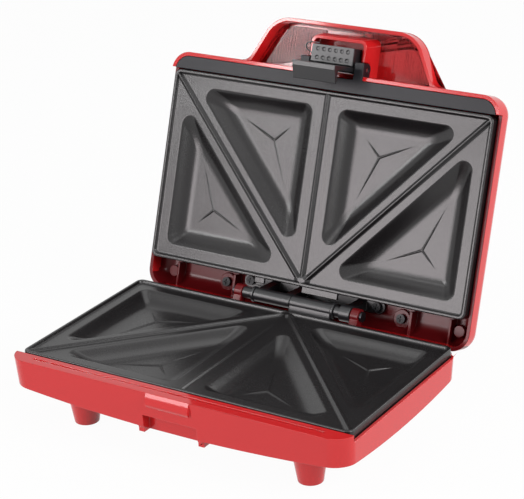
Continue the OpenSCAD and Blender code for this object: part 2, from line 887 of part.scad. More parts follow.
module lid_hinge_bracket() {
    x1 = barrel_x1 - side_clear / 2;
    top = lid_top - wall - seat;
    color([0.1, 0.1, 0.1])
        difference() {
            union() {
                barrel(barrel_x0, x1);
                along_x(short_x - 7.4, short_x, hinge_y, hinge_z, barrel_r + 0.8);
                for (x = [barrel_x0, x1 - 6, short_x - 6.7])
                    push_x(x, x + 6)
                        polygon([
                            [hinge_y - 3.6, hinge_z], [hinge_y + 3.6, hinge_z],
                            [flange_y + 3.6, top - 1.5], [flange_y - 2.6, top - 1.5]
                        ]);
                translate([0, 0, top - 2])
                    linear_extrude(2) plan(flange_x + 5, flange_y - 4.2, flange_y + 4.2, 4);
            }
            along_x(barrel_x0 - 1, short_x + 1, hinge_y, hinge_z, pin_r + run_clear);
            both_sides()
                translate([flange_x, flange_y, top - 4]) cylinder(r = 1.8, h = 6);
        }
}

// Screws of the hinge flange, and those in the bosses beside it
flange_x = short_x + 7;
flange_y = lid_rear - shell_corner - 3;
eye_x = 62.5;
eye_y = 9;
module lid_screws() {
    color([0.08, 0.08, 0.08])
        both_sides()
            for (p = [[flange_x, flange_y], [eye_x, eye_y]])
                translate([p[0], p[1], lid_top - wall - seat]) {
                    translate([0, 0, -4 - seat / 2])
                        difference() {
                            cylinder(r = 2.9, h = 2);
                            for (a = [0, 90])
                                rotate([0, 0, a])
                                    translate([-1.7, -0.3, -0.5]) cube([3.4, 0.6, 1.3]);
                        }
                    translate([0, 0, -2.1]) cylinder(r = 1.5, h = 3.8);
                }
}

// Lid

// Body with rounded top edges and corners, from straight and turned profiles
module pillow(x, y0, y1, r, z0, zc) {
    box([-x + r, y0 + r, z0], [x - r, y1 - r, zc + r]);
    for (sx = [-1, 1])
        translate([sx * (x - r), y1 - r, 0])
            rotate([90, 0, 0])
                linear_extrude(y1 - y0 - 2 * r) edge_profile(r, z0, zc, sx);
    for (sy = [-1, 1])
        translate([-x + r, sy > 0 ? y1 - r : y0 + r, 0])
            rotate([90, 0, 90])
                linear_extrude(2 * (x - r)) edge_profile(r, z0, zc, sy);
    for (c = [[1, y1 - r, 0], [-1, y1 - r, 90], [-1, y0 + r, 180], [1, y0 + r, 270]])
        translate([c[0] * (x - r), c[1], 0])
            rotate([0, 0, c[2]])
                rotate_extrude(angle = 90) edge_profile(r, z0, zc, 1);
}

module edge_profile(r, z0, zc, s) {
    intersection() {
        union() {
            translate([-r, z0]) square([2 * r, zc - z0]);
            translate([0, zc]) circle(r);
        }
        translate([s > 0 ? 0 : -r, z0]) square([r, zc - z0 + r]);
    }
}

// Oval dome on the lid's shoulder
module dome(drop) {
    translate([0, lid_mid, lid_top + dome_h - drop])
        cap(dome_rx, dome_ry, dome_x + 2, dome_y + 2, dome_h + wall);
}

// Where the handle's side meets its front corner, as an angle about the corner's centre
function side_angle(in) =
    let (
        d = [handle_root - in, base_front] - corner_at(in),
        r = handle_corner - in
    )
    atan2(d[1], d[0]) - acos(r / norm(d));
function corner_at(in) = [handle_front - handle_corner, handle_y + handle_corner];

module handle_plan(in) {
    r = handle_corner - in;
    c = corner_at(in);
    a = side_angle(in);
    t = c + r * [cos(a), sin(a)];
    polygon([
        [handle_root - in, base_front], t, [c[0], c[1] - r], [-c[0], c[1] - r],
        [-t[0], t[1]], [in - handle_root, base_front]
    ]);
    for (s = [-1, 1])
        translate([s * c[0], c[1]]) circle(r);
}

// Fillet between the handle's side and the lid's front, let in a little so that its arc crosses the side
module handle_flare() {
    a = side_angle(0);
    r = 8;
    x = r * (1 + sin(a)) / cos(a) - 0.03;
    t = [x - r * cos(a), -r - r * sin(a)];
    difference() {
        polygon([[-3, 0.6], [x, 0.6], [x, 0], t, t - [2, 0]]);
        translate([x, -r]) circle(r);
    }
}

module handle_solid() {
    z1 = handle_top - cap_h;
    translate([0, 0, handle_rim]) linear_extrude(z1 - handle_rim) handle_plan(0);
    hull() {
        translate([0, 0, z1 - 1]) linear_extrude(1) handle_plan(0.06);
        translate([0, 0, z1]) linear_extrude(cap_h * 0.6) handle_plan(cap_in * 0.3);
        translate([0, 0, z1]) linear_extrude(cap_h) handle_plan(cap_in);
    }
    // back part that runs into the lid's rounded front edge
    box([-handle_root, base_front - 0.5, handle_rim],
        [handle_root, base_front + shell_corner * 0.6, z1]);
    box([-handle_root + cap_in, base_front - 0.5, z1 - 1],
        [handle_root - cap_in, base_front + shell_corner * 0.85, handle_top]);
    both_sides()
        translate([handle_root, base_front, handle_rim])
            linear_extrude(z1 - handle_rim) handle_flare();
}

module housing(in, z0, z1, back) {
    hull()
        for (s = [[z0, 0], [z1, 1]])
            translate([0, 0, s[0]])
                linear_extrude(0.2)
                    plan(housing_w + 3.4 * s[1] - in,
                        base_front - housing_reach - 2 * s[1] + in, back, 4 - in * 0.8);
}

module lid_shell() {
    top = lid_top - wall;
    color([0.78, 0.12, 0.13])
        difference() {
            union() {
                difference() {
                    union() {
                        pillow(shell_x, base_front, lid_rear, shell_corner, front_gap, lid_side);
                        dome(0);
                        difference() {
                            handle_solid();
                            // finger tray, open towards the plates
                            translate([0, 0, handle_rim - 1])
                                linear_extrude(handle_floor - handle_rim + 1)
                                    handle_plan(2.2);
                        }
                        // latch housing on the tray's floor
                        housing(0, housing_rim, handle_floor + 0.5, base_front + 6);
                    }
                    pillow(inner_x, base_front + wall, lid_rear - wall, shell_corner - wall, -1, lid_side);
                    dome(wall);
                    box([-shell_x - 1, ledge_y - 0.3, -1], [shell_x + 1, lid_rear + 1, side_drop]);
                }
                // bosses, pillars and ribs under the top
                both_sides() {
                    flipped()
                        for (p = pillars)
                            pillar(p, -lid_top + 0.8);
                    for (p = [post_front, post_back])
                        translate([p[0], p[1], pass - skirt_z])
                            cylinder(r = boss_r, h = top + 0.5 - pass + skirt_z);
                    for (i = [0:rib_last]) {
                        y = front_y + rib_start + i * rib_pitch;
                        box([half_w - 2.4, y - rib_t / 2, -skirt_z + seat / 2],
                            [inner_x + 0.6, y + rib_t / 2, 13]);
                        box([half_w + 0.15, y - rib_t / 2, side_drop + 0.8],
                            [inner_x + 0.6, y + rib_t / 2, 13]);
                    }
                    translate([lamp_x, lamp_y, lens_low - 0.6]) cylinder(r = lens_r + 1.6, h = 5.5);
                }
                // bosses and webs of the cavity behind the plate
                intersection() {
                    pillow(inner_x + 0.4, base_front + wall, lid_rear - wall + 0.4,
                        shell_corner - wall + 0.4, 0, lid_side);
                    union() {
                        both_sides() {
                            translate([half_w - 9, 9, 16]) cylinder(r = 3.6, h = top);
                            translate([eye_x, eye_y, top - 2]) cylinder(r = 5.6, h = top);
                            box([half_w - 14.6, 2.5, 13], [half_w - 13.2, lid_rear, top + 5]);
                        }
                        for (x = [eye_x + 7, -eye_x + 6.4])
                            box([x, 3, 13.5], [x + 2, lid_rear, top + 5]);
                    }
                }
            }
            // inside of the latch housing, with its bearings' notch
            housing(2.2, housing_rim - 1, handle_floor - 1.6, base_front - 0.1);
            box([-ear_x - ear_t - 0.4, pivot_y - ear_half - 0.4, -1],
                [ear_x + ear_t + 0.4, base_front + wall + 1, latch_z + ear_half + 0.5]);
            flipped() both_sides() pillar_holes();
            both_sides() {
                // blind holes for the plate's posts and the screws
                for (p = [post_front, post_back])
                    translate([p[0], p[1], 0]) cylinder(r = post_r + seat, h = post_end + 0.2);
                for (p = [[flange_x, flange_y], [eye_x, eye_y]])
                    translate([p[0], p[1], top - 3]) cylinder(r = 1.6, h = 4.8);
                translate([lamp_x, lamp_y, lens_low - 7]) cylinder(r = lens_r + seat, h = 30);
            }
        }
}

module lid_front_band() {
    t = 2.6;
    y1 = ledge_y;
    color([0.13, 0.13, 0.14])
        difference() {
            union() {
                translate([0, 0, front_gap + seat])
                    linear_extrude(t)
                        intersection() {
                            plan(inner_x - seat, base_front + wall + seat, 40, shell_corner - wall - seat);
                            translate([-200, base_front]) square([400, y1 - base_front]);
                        }
                both_sides() {
                    box([ear_x, pivot_y - ear_half + 2, front_gap + seat],
                        [ear_x + ear_t, base_front + wall + 4, latch_z + ear_half - 0.3]);
                    box([ear_x, pivot_y - ear_half, front_gap + seat],
                        [ear_x + ear_t, pivot_y + 1, latch_z + 2]);
                    along_x(ear_x, ear_x + ear_t, pivot_y, latch_z, ear_half);
                }
            }
            along_x(-60, 60, pivot_y, latch_z, latch_pin_r + 0.03);
        }
}

module upper_plate() {
    color([0.24, 0.24, 0.24]) {
        flipped() plate();
        // lugs on the rear edge
        for (l = lugs)
            box([l[0], -1.5, 1], [l[1], l[2], 3]);
    }
}

module lamp_lenses() {
    rise = dome_z(lamp_x, lamp_y) - lens_low + 0.4;
    color([0.9, 0.35, 0.1])
        both_sides()
            translate([lamp_x, lamp_y, lens_low])
                difference() {
                    union() {
                        cylinder(r = lens_r, h = rise);
                        translate([0, 0, rise])
                            intersection() {
                                translate([0, 0, -9]) sphere(10);
                                translate([0, 0, -1]) cylinder(r = lens_r, h = 4);
                            }
                    }
                    translate([0, 0, -1]) cylinder(r = lens_in, h = 4);
                }
}

module lamp_tubes() {
    color([0.9, 0.9, 0.85])
        both_sides()
            translate([lamp_x, lamp_y, lamp_low]) {
                cylinder(r = lamp_r, h = lamp_len);
                translate([-1.2, 0, -3]) cylinder(r = 0.4, h = 4);
                translate([1.2, 0, -3]) cylinder(r = 0.4, h = 4);
            }
}

// Latch

module latch_pin() {
    color([0.75, 0.75, 0.75])
        along_x(-ear_x - ear_t + 0.5, ear_x + ear_t - 0.5, pivot_y, latch_z, latch_pin_r);
}

module latch_lever() {
    w = latch_w / 2;
    pad_y = pivot_y - pad_len;
    face = -0.1;
    color([0.1, 0.1, 0.1])
        difference() {
            union() {
                // thumb pad with its hollow block
                difference() {
                    box([-w, pad_y, face], [w, pivot_y - 1.2, face + pad_block]);
                    box([-w + 1.8, pad_y + 1.8, face + 2.2], [w - 1.8, pivot_y - 3.6, face + pad_block + 1]);
                }
                // hook arm, its lip and the lip's lead-in
                push_x(-w, w)
                    polygon([
                        [arm_front, latch_z], [arm_front, -hook_depth], [arm_back, -hook_depth],
                        [lip_y, lip_top - 1.5], [lip_y, lip_top], [arm_back, lip_top],
                        [arm_back, latch_z]
                    ]);
                along_x(-w, w, pivot_y, latch_z, 3.3);
            }
            along_x(-w - 1, w + 1, pivot_y, latch_z, latch_pin_r + run_clear);
            // room for the spring's curls
            box([-w - 1, pivot_y - 3.7, latch_z - 3.7],
                [-curl_x + wire_d / 2 + seat, arm_back + 1, latch_z + 4]);
            // dimples on the pad
            for (i = [0:5], j = [0, 1])
                translate([-10.4 + i * 4.16, pad_y + 2.7 + j * 5.3, face - 1])
                    cylinder(r = 1.1, h = 1.6, $fn = 12);
        }
}

// Route of the latch spring: leg, curls about the pin, leg hooked over the pad
curl_r = 2.65;
curl_pitch = wire_d + curl_gap;
curl_x = ear_x - 0.5 - curl_pitch * (spring_turns + 0.5);
function spring_turn(i) =
    let (a = 90 - i * 45)
    [-curl_x - i / 8 * curl_pitch, pivot_y + curl_r * cos(a), latch_z + curl_r * sin(a)];
spring_path = concat(
    [[-curl_x, pivot_y - 0.6, latch_z + 9], [-curl_x, pivot_y - 0.3, latch_z + 5]],
    [for (i = [0:8 * spring_turns + 4]) spring_turn(i)],
    [for (p = [
        [-0.6, -4.4, -3.1], [-0.7, -5.6, -3.6], [-1.9, -6.8, -4.6], [-3.7, -8, -5.6],
        [-4.4, -9.6, -6], [-3.8, -11.4, -5.9], [-1.9, -12.5, -5.5], [0.6, -12.6, -5],
        [4, -12.6, -4.8]
    ]) [-ear_x + 1.1 + p[0], pivot_y + p[1], latch_z + p[2]]]
);
function tangent(p, i) = unit(p[min(i + 1, len(p) - 1)] - p[max(i - 1, 0)]);
function frames(p, i, n0) =
    i >= len(p) ? [] :
    let (t = tangent(p, i), n = unit(n0 - (n0 * t) * t))
    concat([[n, cross(t, n)]], frames(p, i + 1, n));
function apart(p, i, j) = norm(p[i] - p[j]) - wire_d;
spring_least = min([
    for (i = [0:len(spring_path) - 1], j = [i + 4:1:len(spring_path) - 1])
        apart(spring_path, i, j)
]);

module latch_spring() {
    n = len(spring_path);
    f = frames(spring_path, 0, [1, 0.1, 0]);
    pts = [
        for (i = [0:n - 1], k = [0:5])
            spring_path[i] + wire_d / 2 * (f[i][0] * cos(60 * k) + f[i][1] * sin(60 * k))
    ];
    sides = [
        for (i = [0:n - 2], k = [0:5])
            let (a = 6 * i + k, b = 6 * i + (k + 1) % 6)
            each [[a, b, a + 6], [b, b + 6, a + 6]]
    ];
    ends = [
        for (k = [1:4])
            each [[0, k + 1, k], [6 * n - 6, 6 * n - 6 + k, 6 * n - 5 + k]]
    ];
    echo("least gap of the latch spring to itself", spring_least);
    color([0.5, 0.5, 0.5]) polyhedron(pts, concat(sides, ends));
}

in_frame() base_shell();
in_frame() foot_pads();
in_frame() lower_plate();
in_frame() plate_screws();  // lower_plate_screws
in_frame() element();  // lower_element
in_frame() clamps();  // lower_clamps
in_frame() reflector();  // lower_reflector
in_frame() reflector_screws();  // lower_reflector_screws
in_frame() thermostat();  // lower_thermostat
in_frame() fuse();  // thermal_fuse
in_frame() terminals();  // terminal_block
in_frame() base_hinge_bracket();
in_frame() base_hinge_screws();
in_frame() hinge_pin();
in_frame() hinge_spacers();
in_frame() cord_gland();
in_lid() lid_shell();
in_lid() lid_front_band();
in_lid() upper_plate();
in_lid() flipped() element();  // upper_element
in_lid() flipped() clamps();  // upper_clamps
in_lid() flipped() reflector();  // upper_reflector
in_lid() flipped() reflector_screws();  // upper_reflector_screws
in_lid() flipped() thermostat();  // upper_thermostat
in_lid() lid_hinge_bracket();
in_lid() lid_screws();
in_lid() lamp_lenses();
in_lid() lamp_tubes();
in_lid() latch_pin();
in_lid() latch_lever();
in_lid() latch_spring();
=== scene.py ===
import json
import math

import bmesh
import bpy
from mathutils import Matrix, Vector


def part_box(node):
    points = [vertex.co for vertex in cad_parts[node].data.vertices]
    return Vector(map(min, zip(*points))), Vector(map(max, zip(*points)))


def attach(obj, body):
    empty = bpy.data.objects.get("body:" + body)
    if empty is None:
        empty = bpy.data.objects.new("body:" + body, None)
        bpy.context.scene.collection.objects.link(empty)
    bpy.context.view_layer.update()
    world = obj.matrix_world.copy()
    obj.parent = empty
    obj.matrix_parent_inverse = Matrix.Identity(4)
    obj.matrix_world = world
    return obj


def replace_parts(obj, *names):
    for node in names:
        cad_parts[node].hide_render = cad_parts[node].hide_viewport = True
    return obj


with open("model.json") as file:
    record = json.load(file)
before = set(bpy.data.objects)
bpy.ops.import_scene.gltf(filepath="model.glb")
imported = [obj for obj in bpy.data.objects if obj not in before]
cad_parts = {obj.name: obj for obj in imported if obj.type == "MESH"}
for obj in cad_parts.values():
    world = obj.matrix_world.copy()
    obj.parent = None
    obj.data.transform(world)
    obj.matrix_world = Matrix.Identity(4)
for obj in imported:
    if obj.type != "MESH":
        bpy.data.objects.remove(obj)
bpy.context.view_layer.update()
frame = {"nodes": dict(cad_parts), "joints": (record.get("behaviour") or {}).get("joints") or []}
nodes = frame["nodes"]
print("frame loaded:", len(nodes), "nodes")

# New pieces are drawn in millimetres with the halves shut: y is 0 at the plates' rear edge and
# z is 0 where the halves meet. The frame's lower plate tells where that is, and the frame stands
# open by the whole range of the lid's hinge.
drawing = dict(metres=0.001, rimTop=-0.2)

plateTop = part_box("lower_plate")[1]
toFrame = Matrix.Translation(
    (0, plateTop.y, plateTop.z - drawing["rimTop"] * drawing["metres"])
) @ Matrix.Scale(drawing["metres"], 4)
hinge = next(joint for joint in frame["joints"] if joint["name"] == "lid_hinge")
axle = Matrix.Translation(hinge["pos_m"])
lidOpen = axle @ Matrix.Rotation(-math.radians(hinge["range_deg"][1]), 4, "X") @ axle.inverted()
homes = {"base": toFrame, "lid": lidOpen @ toFrame}


def linkObject(name, data):
    made = bpy.data.objects.new(name, data)
    bpy.context.scene.collection.objects.link(made)
    return made


def finishMesh(bm, name, body, *materials):
    mesh = bpy.data.meshes.new(name)
    bm.to_mesh(mesh)
    bm.free()
    for material in materials:
        mesh.materials.append(material)
    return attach(linkObject(name, mesh), body)


def smoothBy(piece, degrees, weight):
    piece.data.shade_smooth()
    piece.data.set_sharp_from_angle(angle=math.radians(degrees))
    even = piece.modifiers.new("evenNormals", "WEIGHTED_NORMAL")
    even.keep_sharp = True
    even.weight = weight


# Finishes


def addNode(tree, kind, **values):
    node = tree.nodes.new(kind)
    for key, value in values.items():
        setattr(node, key, value)
    return node


def link(tree, start, end):
    tree.links.new(start, end)


def makeGroup(name, inputs, outputs):
    tree = bpy.data.node_groups.new(name, "ShaderNodeTree")
    for label, kind, value in inputs:
        socket = tree.interface.new_socket(label, in_out="INPUT", socket_type=kind)
        socket.default_value = value
    for label, kind in outputs:
        tree.interface.new_socket(label, in_out="OUTPUT", socket_type=kind)
    return tree, addNode(tree, "NodeGroupInput"), addNode(tree, "NodeGroupOutput")


# how the pattern is drawn in every finish, with depths in metres
pattern = dict(
    driftScale=22, driftDetail=3, waveDetail=1, waveDepth=0.001, grainDetail=2, grainDepth=0.0001,
)


def noise(tree, place, detail):
    made = addNode(tree, "ShaderNodeTexNoise", noise_dimensions="3D")
    made.inputs["Detail"].default_value = detail
    link(tree, place.outputs["Object"], made.inputs["Vector"])
    return made


def bump(tree, height, strength, depth):
    made = addNode(tree, "ShaderNodeBump")
    made.inputs["Distance"].default_value = depth
    link(tree, strength, made.inputs["Strength"])
    link(tree, height.outputs["Fac"], made.inputs["Height"])
    return made


def mouldedGroup():
    # slow drift of tone and gloss, a faint wave and a fine grain
    tree, enter, leave = makeGroup(
        "mouldedSurface",
        [
            ("Color", "NodeSocketColor", (0.5, 0.5, 0.5, 1)),
            ("Drift", "NodeSocketFloat", 0.05),
            ("Gloss", "NodeSocketFloat", 0.2),
            ("Gloss Drift", "NodeSocketFloat", 0.05),
            ("Wave", "NodeSocketFloat", 0.02),
            ("Wave Scale", "NodeSocketFloat", 40.0),
            ("Grain", "NodeSocketFloat", 0.02),
            ("Grain Scale", "NodeSocketFloat", 1500.0),
        ],
        [
            ("Color", "NodeSocketColor"),
            ("Roughness", "NodeSocketFloat"),
            ("Normal", "NodeSocketVector"),
        ],
    )
    place = addNode(tree, "ShaderNodeTexCoord")
    slow = noise(tree, place, pattern["driftDetail"])
    slow.inputs["Scale"].default_value = pattern["driftScale"]
    fine = noise(tree, place, pattern["grainDetail"])
    link(tree, enter.outputs["Grain Scale"], fine.inputs["Scale"])
    wide = noise(tree, place, pattern["waveDetail"])
    link(tree, enter.outputs["Wave Scale"], wide.inputs["Scale"])

    # tone: the colour times 1 plus the drift
    centred = addNode(tree, "ShaderNodeMath", operation="SUBTRACT")
    link(tree, slow.outputs["Fac"], centred.inputs[0])
    centred.inputs[1].default_value = 0.5
    tone = addNode(tree, "ShaderNodeMath", operation="MULTIPLY_ADD")
    link(tree, centred.outputs[0], tone.inputs[0])
    link(tree, enter.outputs["Drift"], tone.inputs[1])
    tone.inputs[2].default_value = 1.0
    scaled = addNode(tree, "ShaderNodeVectorMath", operation="SCALE")
    link(tree, enter.outputs["Color"], scaled.inputs[0])
    link(tree, tone.outputs[0], scaled.inputs["Scale"])
    link(tree, scaled.outputs[0], leave.inputs["Color"])

    # roughness: the gloss plus slow and fine unevenness
    both = addNode(tree, "ShaderNodeMath", operation="ADD")
    link(tree, centred.outputs[0], both.inputs[0])
    link(tree, fine.outputs["Fac"], both.inputs[1])
    rough = addNode(tree, "ShaderNodeMath", operation="MULTIPLY_ADD", use_clamp=True)
    link(tree, both.outputs[0], rough.inputs[0])
    link(tree, enter.outputs["Gloss Drift"], rough.inputs[1])
    link(tree, enter.outputs["Gloss"], rough.inputs[2])
    link(tree, rough.outputs[0], leave.inputs["Roughness"])

    # normal: the wave with the grain on top
    waves = bump(tree, wide, enter.outputs["Wave"], pattern["waveDepth"])
    grain = bump(tree, fine, enter.outputs["Grain"], pattern["grainDepth"])
    link(tree, waves.outputs[0], grain.inputs["Normal"])
    link(tree, grain.outputs[0], leave.inputs["Normal"])
    return tree


moulded = mouldedGroup()


def surface(name, color, metallic=0.0, specular=0.5, coat=0.0, coatRoughness=0.1, **values):
    material = bpy.data.materials.new(name)
    material.use_nodes = True
    tree = material.node_tree
    shader = tree.nodes["Principled BSDF"]
    shader.inputs["Metallic"].default_value = metallic
    shader.inputs["Specular IOR Level"].default_value = specular
    shader.inputs["Coat Weight"].default_value = coat
    shader.inputs["Coat Roughness"].default_value = coatRoughness
    group = addNode(tree, "ShaderNodeGroup", node_tree=moulded)
    group.inputs["Color"].default_value = (*color, 1)
    for label, value in values.items():
        group.inputs[label.replace("_", " ")].default_value = value
    link(tree, group.outputs["Color"], shader.inputs["Base Color"])
    link(tree, group.outputs["Roughness"], shader.inputs["Roughness"])
    link(tree, group.outputs["Normal"], shader.inputs["Normal"])
    material.diffuse_color = (*color, 1)
    return material


redGloss = surface(
    "redGloss", (0.56, 0.014, 0.016), specular=0.5, Drift=0.08, Gloss=0.05,
    Gloss_Drift=0.03, Wave=0.1, Wave_Scale=20.0, Grain=0.01, Grain_Scale=900.0,
)
nonStick = surface(
    "nonStick", (0.0078, 0.0068, 0.0074), specular=0.52, Drift=0.3, Gloss=0.23,
    Gloss_Drift=0.06, Wave=0.02, Wave_Scale=70.0, Grain=0.5, Grain_Scale=1900.0,
)
redPaintedShade = surface(  # painted shade: a darker red for the shells' inner faces, standing in for the shade in their cavities
    "redPaintedShade", (0.13, 0.006, 0.008), specular=0.2, Drift=0.2, Gloss=0.2,
    Gloss_Drift=0.05, Wave=0.1, Wave_Scale=24.0, Grain=0.03, Grain_Scale=900.0,
)
blackGloss = surface(
    "blackGloss", (0.014, 0.0138, 0.0155), specular=0.55, Drift=0.2, Gloss=0.27,
    Gloss_Drift=0.1, Wave=0.02, Wave_Scale=60.0, Grain=0.05, Grain_Scale=2200.0,
)
blackSatin = surface(
    "blackSatin", (0.01, 0.0105, 0.0135), specular=0.22, Drift=0.2, Gloss=0.3,
    Gloss_Drift=0.1, Wave=0.02, Wave_Scale=60.0, Grain=0.05, Grain_Scale=2200.0,
)
brightSteel = surface(
    "brightSteel", (0.56, 0.56, 0.57), metallic=1.0, Drift=0.1, Gloss=0.22,
    Gloss_Drift=0.1, Wave=0.0, Grain=0.03, Grain_Scale=2500.0,
)
darkSteel = surface(
    "darkSteel", (0.09, 0.09, 0.1), metallic=1.0, Drift=0.2, Gloss=0.3,
    Gloss_Drift=0.15, Wave=0.0, Grain=0.05, Grain_Scale=2500.0,
)
blackWire = surface(
    "blackWire", (0.03, 0.03, 0.034), metallic=0.8, Drift=0.2, Gloss=0.25,
    Gloss_Drift=0.1, Wave=0.0, Grain=0.03, Grain_Scale=2500.0,
)
reflectorSheet = surface(
    "reflectorSheet", (0.72, 0.72, 0.7), metallic=1.0, Drift=0.1, Gloss=0.24,
    Gloss_Drift=0.14, Wave=0.1, Wave_Scale=60.0, Grain=0.03, Grain_Scale=1500.0,
)
elementSheath = surface(
    "elementSheath", (0.2, 0.19, 0.18), metallic=1.0, Drift=0.5, Gloss=0.42,
    Gloss_Drift=0.2, Wave=0.0, Grain=0.1, Grain_Scale=2500.0,
)
paleCeramic = surface(
    "paleCeramic", (0.72, 0.69, 0.62), Drift=0.12, Gloss=0.45,
    Gloss_Drift=0.2, Wave=0.0, Grain=0.1, Grain_Scale=1600.0,
)
padRubber = surface(
    "padRubber", (0.02, 0.02, 0.02), Drift=0.4, Gloss=0.7,
    Gloss_Drift=0.2, Wave=0.0, Grain=0.2, Grain_Scale=1400.0,
)
amberLens = surface(
    "amberLens", (0.75, 0.13, 0.02), Drift=0.2, Gloss=0.06,
    Gloss_Drift=0.05, Wave=0.0, Grain=0.0, Grain_Scale=900.0, coat=0.4,
)
clearGlass = surface(
    "clearGlass", (0.75, 0.75, 0.72), Drift=0.1, Gloss=0.08,
    Gloss_Drift=0.05, Wave=0.0, Grain=0.0, Grain_Scale=900.0,
)
print("materials made")

# Cooking plates: heights are z, with the plate's face up

plate = dict(
    halfWidth=111.0, depth=120.0, corner=4.0, narrowing=0.75, leastCorner=0.8, cornerSteps=6,
    rimWidth=2.2, land=-1.8, metal=2.0, skirt=-9.2, smoothAngle=50, smoothWeight=80,
)
# from the skirt's foot over the rim and down to the land: inset from the edge, then height
rimProfile = [
    (0.0, plate["skirt"]), (0.0, -1.0), (0.1, -0.55), (0.38, -0.28), (0.8, -0.2), (1.5, -0.2),
    (1.85, -0.3), (2.1, -0.6), (2.25, -1.1), (2.5, -1.5), (2.9, -1.72), (3.4, plate["land"]),
]
# land kept between a pocket and the plate's edge, the middle seam and the diagonal seam
pocket = dict(edgeLand=10.0, centreLand=10.0, diagonalLand=7.0, cornerSteps=9)
# a wall's profile: inset from the pocket's outline, then depth; its corners get tighter inwards
pocketFace = dict(
    corner=5.0, narrowing=0.27, widening=1.0,
    profile=[
        (-1.3, 0.0), (-0.8, 0.05), (-0.3, 0.22), (0.25, 0.62), (0.9, 1.2), (1.8, 2.1),
        (2.9, 3.2), (4.1, 4.3), (5.3, 5.2), (6.5, 5.9), (7.8, 6.42), (9.2, 6.74),
        (10.6, 6.87), (12.0, 6.9),
    ],
)
pocketBack = dict(
    corner=7.5, narrowing=0.5, widening=0.0,
    profile=[(-2.0, 0.0), (-1.0, 0.2), (3.5, 4.1), (5.0, 5.6), (7.0, 6.9)],
)


def pocketCorners():
    # the right half's two pockets, whose long sides run beside the diagonal seam
    half, front, edge = plate["halfWidth"], -plate["depth"], pocket["edgeLand"]
    mid, away = pocket["centreLand"], pocket["diagonalLand"]
    seamRun = Vector((half, front)).normalized()
    frontPocket = [
        Vector((mid, front + edge)),
        Vector((((front + edge) * seamRun.x + away) / seamRun.y, front + edge)),
        Vector((mid, (mid * seamRun.y - away) / seamRun.x)),
    ]
    sidePocket = [
        Vector((half - edge, -edge)),
        Vector(((-edge * seamRun.x - away) / seamRun.y, -edge)),
        Vector((half - edge, ((half - edge) * seamRun.y + away) / seamRun.x)),
    ]
    return frontPocket, sidePocket


def insetPoint(corner, second, third, inset):
    u, v = (second - corner).normalized(), (third - corner).normalized()
    return corner + (u + v) * inset / abs(u.x * v.y - u.y * v.x)


def roundedLoop(bm, points, radius, z, steps):
    # a flat outline: each corner is a point spun about its rounding's centre, then all are joined
    ends = []
    edges = []
    for i, corner in enumerate(points):
        before, after = points[i - 1], points[(i + 1) % len(points)]
        half = (before - corner).angle(after - corner) / 2
        toBefore, toAfter = (before - corner).normalized(), (after - corner).normalized()
        centre = corner + (toBefore + toAfter).normalized() * radius / math.sin(half)
        start = bm.verts.new((*(corner + toBefore * radius / math.tan(half)), z))
        turn = toBefore.x * toAfter.y - toBefore.y * toAfter.x
        made = bmesh.ops.spin(
            bm, geom=[start], cent=(*centre, z), axis=(0, 0, 1), steps=steps,
            angle=math.copysign(math.pi - 2 * half, -turn),
        )
        last = next(g for g in made["geom_last"] if isinstance(g, bmesh.types.BMVert))
        ends.append((start, last))
        walk, behind = start, None
        while walk is not last:
            edge = next(e for e in walk.link_edges if e is not behind)
            edges.append(edge)
            walk, behind = edge.other_vert(walk), edge
    for (_, last), (start, _) in zip(ends, ends[1:] + ends[:1]):
        edges.append(bm.edges.new((last, start)))
    return edges


def plateLoop(bm, inset, z):
    x, front, rear = plate["halfWidth"] - inset, -plate["depth"] + inset, -inset
    points = [Vector(p) for p in ((-x, front), (x, front), (x, rear), (-x, rear))]
    radius = max(plate["corner"] - inset * plate["narrowing"], plate["leastCorner"])
    return roundedLoop(bm, points, radius, z, plate["cornerSteps"])


def pocketLoop(bm, corners, form, inset, z, side):
    points = []
    for i in range(3):
        point = insetPoint(corners[i], corners[(i + 1) % 3], corners[(i + 2) % 3], inset)
        points.append(Vector((point.x * side, point.y)))
    radius = form["corner"] - inset * (form["narrowing"] if inset > 0 else form["widening"])
    return roundedLoop(bm, points, radius, z, pocket["cornerSteps"])


def bridgeLoops(bm, loops):
    for first, second in zip(loops, loops[1:]):
        bmesh.ops.bridge_loops(bm, edges=first + second)


def sinkPockets(bm, form, level):
    # walls and floors of the four pockets below a level; gives the edges of their mouths.
    # side is 1 for the right half and -1 for the left
    mouths = []
    for side in (1, -1):
        for corners in pocketCorners():
            loops = [
                pocketLoop(bm, corners, form, inset, level - depth, side)
                for inset, depth in form["profile"]
            ]
            bridgeLoops(bm, loops)
            mouths += loops[0]
            bmesh.ops.contextual_create(bm, geom=loops[-1])
    return mouths


def plateMesh():
    bm = bmesh.new()
    rim = [plateLoop(bm, inset, z) for inset, z in rimProfile]
    bridgeLoops(bm, rim)
    edges = rim[-1] + sinkPockets(bm, pocketFace, plate["land"])
    bmesh.ops.triangle_fill(bm, edges=edges, use_beauty=True, use_dissolve=False)

    # underside: the skirt's inner wall, the deck and the backs of the pockets
    deck = plate["land"] - plate["metal"]
    foot = plateLoop(bm, plate["rimWidth"], plate["skirt"])
    wallTop = plateLoop(bm, plate["rimWidth"], deck)
    bridgeLoops(bm, [rim[0], foot, wallTop])
    edges = wallTop + sinkPockets(bm, pocketBack, deck)
    bmesh.ops.triangle_fill(bm, edges=edges, use_beauty=True, use_dissolve=False)
    return bm


def startRow(bm, points):
    row = [bm.verts.new(p) for p in points]
    return row, [bm.edges.new(pair) for pair in zip(row, row[1:])]


def pushRow(bm, edges, move):
    # draws a row of edges out by a move and gives the new row's points and edges
    grown = bmesh.ops.extrude_edge_only(bm, edges=edges)["geom"]
    row = [g for g in grown if isinstance(g, bmesh.types.BMVert)]
    bmesh.ops.translate(bm, verts=row, vec=move)
    return row, [g for g in grown if isinstance(g, bmesh.types.BMEdge) and set(g.verts) <= set(row)]


